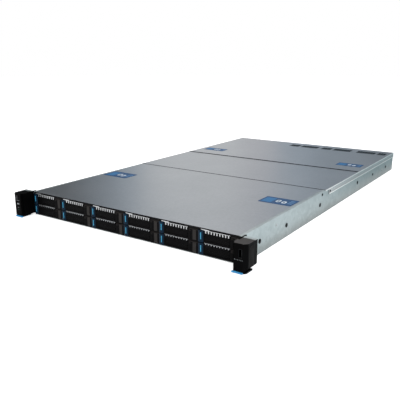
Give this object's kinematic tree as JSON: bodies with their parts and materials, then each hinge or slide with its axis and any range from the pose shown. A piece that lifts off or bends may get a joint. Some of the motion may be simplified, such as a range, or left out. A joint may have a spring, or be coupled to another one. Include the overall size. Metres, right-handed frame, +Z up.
{
  "type": "rack server",
  "caption": "Thin rack-mounted server with front drive carriers, lift-off steel covers, black rack ears with blue release tabs, and rear power supplies and sockets.",
  "frame": {"origin": "middle of the width, in the plane of the rack ears' rear faces, on the underside of the chassis", "axes": "+X to the right seen from the front, +Y from front to rear, +Z up"},
  "size_m": [0.4826, 0.8126, 0.043],
  "materials": {
    "galvanised_steel": "zinc-coated sheet, satin",
    "cover_steel": "zinc-coated sheet, brushed",
    "carrier_plastic": "moulded, matt",
    "black_plastic": "moulded, matt",
    "dark_plastic": "moulded, polished",
    "blue_plastic": "moulded, semi-gloss",
    "circuit_board": "solder mask over laminate",
    "plated_shell": "tin-plated sheet",
    "heatsink_aluminium": "mill finish",
    "supply_case": "zinc-coated sheet, satin"
  },
  "bodies": {
    "chassis": {"chassis_tray": "galvanised_steel", "drive_cage": "galvanised_steel", "drive_backplane": "circuit_board", "fan_frames": "black_plastic", "system_board": "circuit_board", "rear_ports": "plated_shell", "heatsinks": "heatsink_aluminium", "memory_modules": "circuit_board", "left_rack_handle": "black_plastic", "right_rack_handle": "black_plastic"},
    "carrier_01": {"drive_carrier_01": "carrier_plastic"},
    "lever_01": {"carrier_lever_01": "black_plastic"},
    "latch_01": {"carrier_latch_01": "blue_plastic"},
    "carrier_02": {"drive_carrier_02": "carrier_plastic"},
    "lever_02": {"carrier_lever_02": "black_plastic"},
    "latch_02": {"carrier_latch_02": "blue_plastic"},
    "carrier_03": {"drive_carrier_03": "carrier_plastic"},
    "lever_03": {"carrier_lever_03": "black_plastic"},
    "latch_03": {"carrier_latch_03": "blue_plastic"},
    "carrier_04": {"drive_carrier_04": "carrier_plastic"},
    "lever_04": {"carrier_lever_04": "black_plastic"},
    "latch_04": {"carrier_latch_04": "blue_plastic"},
    "carrier_05": {"drive_carrier_05": "carrier_plastic"},
    "lever_05": {"carrier_lever_05": "black_plastic"},
    "latch_05": {"carrier_latch_05": "blue_plastic"},
    "carrier_06": {"drive_carrier_06": "carrier_plastic"},
    "lever_06": {"carrier_lever_06": "black_plastic"},
    "latch_06": {"carrier_latch_06": "blue_plastic"},
    "carrier_07": {"drive_carrier_07": "carrier_plastic"},
    "lever_07": {"carrier_lever_07": "black_plastic"},
    "latch_07": {"carrier_latch_07": "blue_plastic"},
    "carrier_08": {"drive_carrier_08": "carrier_plastic"},
    "lever_08": {"carrier_lever_08": "black_plastic"},
    "latch_08": {"carrier_latch_08": "blue_plastic"},
    "carrier_09": {"drive_carrier_09": "carrier_plastic"},
    "lever_09": {"carrier_lever_09": "black_plastic"},
    "latch_09": {"carrier_latch_09": "blue_plastic"},
    "carrier_10": {"drive_carrier_10": "carrier_plastic"},
    "lever_10": {"carrier_lever_10": "black_plastic"},
    "latch_10": {"carrier_latch_10": "blue_plastic"},
    "carrier_11": {"drive_carrier_11": "carrier_plastic"},
    "lever_11": {"carrier_lever_11": "black_plastic"},
    "latch_11": {"carrier_latch_11": "blue_plastic"},
    "carrier_12": {"drive_carrier_12": "carrier_plastic"},
    "lever_12": {"carrier_lever_12": "black_plastic"},
    "latch_12": {"carrier_latch_12": "blue_plastic"},
    "rotor_1": {"fan_rotor_1": "black_plastic"},
    "rotor_2": {"fan_rotor_2": "black_plastic"},
    "rotor_3": {"fan_rotor_3": "black_plastic"},
    "rotor_4": {"fan_rotor_4": "black_plastic"},
    "rotor_5": {"fan_rotor_5": "black_plastic"},
    "rotor_6": {"fan_rotor_6": "black_plastic"},
    "supply_1": {"power_supply_1": "supply_case"},
    "supply_2": {"power_supply_2": "supply_case"},
    "front_lid": {"front_cover": "cover_steel"},
    "middle_lid": {"middle_cover": "cover_steel"},
    "rear_lid": {"rear_cover": "cover_steel"},
    "left_tab": {"left_handle_latch": "blue_plastic"},
    "right_tab": {"right_handle_latch": "blue_plastic"},
    "power_key": {"power_button": "dark_plastic"}
  },
  "joints": [
    {"name": "front_lid_lift", "type": "slide", "parent": "chassis", "child": "front_lid", "axis": [0, 0, 1], "range_m": [0, 0.12]},
    {"name": "middle_lid_lift", "type": "slide", "parent": "chassis", "child": "middle_lid", "axis": [0, 0, 1], "range_m": [0, 0.12]},
    {"name": "rear_lid_lift", "type": "slide", "parent": "chassis", "child": "rear_lid", "axis": [0, 0, 1], "range_m": [0, 0.12]},
    {"name": "supply_1_slide", "type": "slide", "parent": "chassis", "child": "supply_1", "axis": [0, 1, 0], "range_m": [0, 0.19]},
    {"name": "supply_2_slide", "type": "slide", "parent": "chassis", "child": "supply_2", "axis": [0, 1, 0], "range_m": [0, 0.19]},
    {"name": "left_tab_slide", "type": "slide", "parent": "chassis", "child": "left_tab", "axis": [0, 1, 0], "range_m": [0, 0.005], "stiffness_N_per_m": 300},
    {"name": "right_tab_slide", "type": "slide", "parent": "chassis", "child": "right_tab", "axis": [0, 1, 0], "range_m": [0, 0.005], "stiffness_N_per_m": 300},
    {"name": "power_key_press", "type": "slide", "parent": "chassis", "child": "power_key", "axis": [0, 1, 0], "range_m": [0, 0.001], "stiffness_N_per_m": 500},
    {"name": "rotor_1_spin", "type": "hinge", "parent": "chassis", "child": "rotor_1", "pos_m": [-0.17875, 0.145, 0.021], "axis": [0, 1, 0], "continuous": true},
    {"name": "carrier_01_slide", "type": "slide", "parent": "chassis", "child": "carrier_01", "axis": [0, -1, 0], "range_m": [0, 0.115]},
    {"name": "lever_01_swing", "type": "hinge", "parent": "carrier_01", "child": "lever_01", "pos_m": [-0.1591, -0.0014, 0.0083], "axis": [0, 0, 1], "range_deg": [0, 75]},
    {"name": "latch_01_press", "type": "slide", "parent": "carrier_01", "child": "latch_01", "axis": [0, 1, 0], "range_m": [0, 0.0022], "stiffness_N_per_m": 300},
    {"name": "carrier_02_slide", "type": "slide", "parent": "chassis", "child": "carrier_02", "axis": [0, -1, 0], "range_m": [0, 0.115]},
    {"name": "lever_02_swing", "type": "hinge", "parent": "carrier_02", "child": "lever_02", "pos_m": [-0.0866, -0.0014, 0.0083], "axis": [0, 0, 1], "range_deg": [0, 75]},
    {"name": "latch_02_press", "type": "slide", "parent": "carrier_02", "child": "latch_02", "axis": [0, 1, 0], "range_m": [0, 0.0022], "stiffness_N_per_m": 300},
    {"name": "carrier_03_slide", "type": "slide", "parent": "chassis", "child": "carrier_03", "axis": [0, -1, 0], "range_m": [0, 0.115]},
    {"name": "lever_03_swing", "type": "hinge", "parent": "carrier_03", "child": "lever_03", "pos_m": [-0.0141, -0.0014, 0.0083], "axis": [0, 0, 1], "range_deg": [0, 75]},
    {"name": "latch_03_press", "type": "slide", "parent": "carrier_03", "child": "latch_03", "axis": [0, 1, 0], "range_m": [0, 0.0022], "stiffness_N_per_m": 300},
    {"name": "carrier_04_slide", "type": "slide", "parent": "chassis", "child": "carrier_04", "axis": [0, -1, 0], "range_m": [0, 0.115]},
    {"name": "lever_04_swing", "type": "hinge", "parent": "carrier_04", "child": "lever_04", "pos_m": [0.0584, -0.0014, 0.0083], "axis": [0, 0, 1], "range_deg": [0, 75]},
    {"name": "latch_04_press", "type": "slide", "parent": "carrier_04", "child": "latch_04", "axis": [0, 1, 0], "range_m": [0, 0.0022], "stiffness_N_per_m": 300},
    {"name": "carrier_05_slide", "type": "slide", "parent": "chassis", "child": "carrier_05", "axis": [0, -1, 0], "range_m": [0, 0.115]},
    {"name": "lever_05_swing", "type": "hinge", "parent": "carrier_05", "child": "lever_05", "pos_m": [0.1309, -0.0014, 0.0083], "axis": [0, 0, 1], "range_deg": [0, 75]},
    {"name": "latch_05_press", "type": "slide", "parent": "carrier_05", "child": "latch_05", "axis": [0, 1, 0], "range_m": [0, 0.0022], "stiffness_N_per_m": 300},
    {"name": "carrier_06_slide", "type": "slide", "parent": "chassis", "child": "carrier_06", "axis": [0, -1, 0], "range_m": [0, 0.115]},
    {"name": "lever_06_swing", "type": "hinge", "parent": "carrier_06", "child": "lever_06", "pos_m": [0.2034, -0.0014, 0.0083], "axis": [0, 0, 1], "range_deg": [0, 75]},
    {"name": "latch_06_press", "type": "slide", "parent": "carrier_06", "child": "latch_06", "axis": [0, 1, 0], "range_m": [0, 0.0022], "stiffness_N_per_m": 300},
    {"name": "carrier_07_slide", "type": "slide", "parent": "chassis", "child": "carrier_07", "axis": [0, -1, 0], "range_m": [0, 0.115]},
    {"name": "lever_07_swing", "type": "hinge", "parent": "carrier_07", "child": "lever_07", "pos_m": [-0.1591, -0.0014, 0.0277], "axis": [0, 0, 1], "range_deg": [0, 75]},
    {"name": "latch_07_press", "type": "slide", "parent": "carrier_07", "child": "latch_07", "axis": [0, 1, 0], "range_m": [0, 0.0022], "stiffness_N_per_m": 300},
    {"name": "carrier_08_slide", "type": "slide", "parent": "chassis", "child": "carrier_08", "axis": [0, -1, 0], "range_m": [0, 0.115]},
    {"name": "lever_08_swing", "type": "hinge", "parent": "carrier_08", "child": "lever_08", "pos_m": [-0.0866, -0.0014, 0.0277], "axis": [0, 0, 1], "range_deg": [0, 75]},
    {"name": "latch_08_press", "type": "slide", "parent": "carrier_08", "child": "latch_08", "axis": [0, 1, 0], "range_m": [0, 0.0022], "stiffness_N_per_m": 300},
    {"name": "carrier_09_slide", "type": "slide", "parent": "chassis", "child": "carrier_09", "axis": [0, -1, 0], "range_m": [0, 0.115]},
    {"name": "lever_09_swing", "type": "hinge", "parent": "carrier_09", "child": "lever_09", "pos_m": [-0.0141, -0.0014, 0.0277], "axis": [0, 0, 1], "range_deg": [0, 75]},
    {"name": "latch_09_press", "type": "slide", "parent": "carrier_09", "child": "latch_09", "axis": [0, 1, 0], "range_m": [0, 0.0022], "stiffness_N_per_m": 300},
    {"name": "carrier_10_slide", "type": "slide", "parent": "chassis", "child": "carrier_10", "axis": [0, -1, 0], "range_m": [0, 0.115]},
    {"name": "lever_10_swing", "type": "hinge", "parent": "carrier_10", "child": "lever_10", "pos_m": [0.0584, -0.0014, 0.0277], "axis": [0, 0, 1], "range_deg": [0, 75]},
    {"name": "latch_10_press", "type": "slide", "parent": "carrier_10", "child": "latch_10", "axis": [0, 1, 0], "range_m": [0, 0.0022], "stiffness_N_per_m": 300},
    {"name": "carrier_11_slide", "type": "slide", "parent": "chassis", "child": "carrier_11", "axis": [0, -1, 0], "range_m": [0, 0.115]},
    {"name": "lever_11_swing", "type": "hinge", "parent": "carrier_11", "child": "lever_11", "pos_m": [0.1309, -0.0014, 0.0277], "axis": [0, 0, 1], "range_deg": [0, 75]},
    {"name": "latch_11_press", "type": "slide", "parent": "carrier_11", "child": "latch_11", "axis": [0, 1, 0], "range_m": [0, 0.0022], "stiffness_N_per_m": 300},
    {"name": "carrier_12_slide", "type": "slide", "parent": "chassis", "child": "carrier_12", "axis": [0, -1, 0], "range_m": [0, 0.115]},
    {"name": "lever_12_swing", "type": "hinge", "parent": "carrier_12", "child": "lever_12", "pos_m": [0.2034, -0.0014, 0.0277], "axis": [0, 0, 1], "range_deg": [0, 75]},
    {"name": "latch_12_press", "type": "slide", "parent": "carrier_12", "child": "latch_12", "axis": [0, 1, 0], "range_m": [0, 0.0022], "stiffness_N_per_m": 300},
    {"name": "rotor_2_spin", "type": "hinge", "parent": "chassis", "child": "rotor_2", "pos_m": [-0.10725, 0.145, 0.021], "axis": [0, 1, 0], "continuous": true},
    {"name": "rotor_3_spin", "type": "hinge", "parent": "chassis", "child": "rotor_3", "pos_m": [-0.03575, 0.145, 0.021], "axis": [0, 1, 0], "continuous": true},
    {"name": "rotor_4_spin", "type": "hinge", "parent": "chassis", "child": "rotor_4", "pos_m": [0.03575, 0.145, 0.021], "axis": [0, 1, 0], "continuous": true},
    {"name": "rotor_5_spin", "type": "hinge", "parent": "chassis", "child": "rotor_5", "pos_m": [0.10725, 0.145, 0.021], "axis": [0, 1, 0], "continuous": true},
    {"name": "rotor_6_spin", "type": "hinge", "parent": "chassis", "child": "rotor_6", "pos_m": [0.17875, 0.145, 0.021], "axis": [0, 1, 0], "continuous": true}
  ]
}
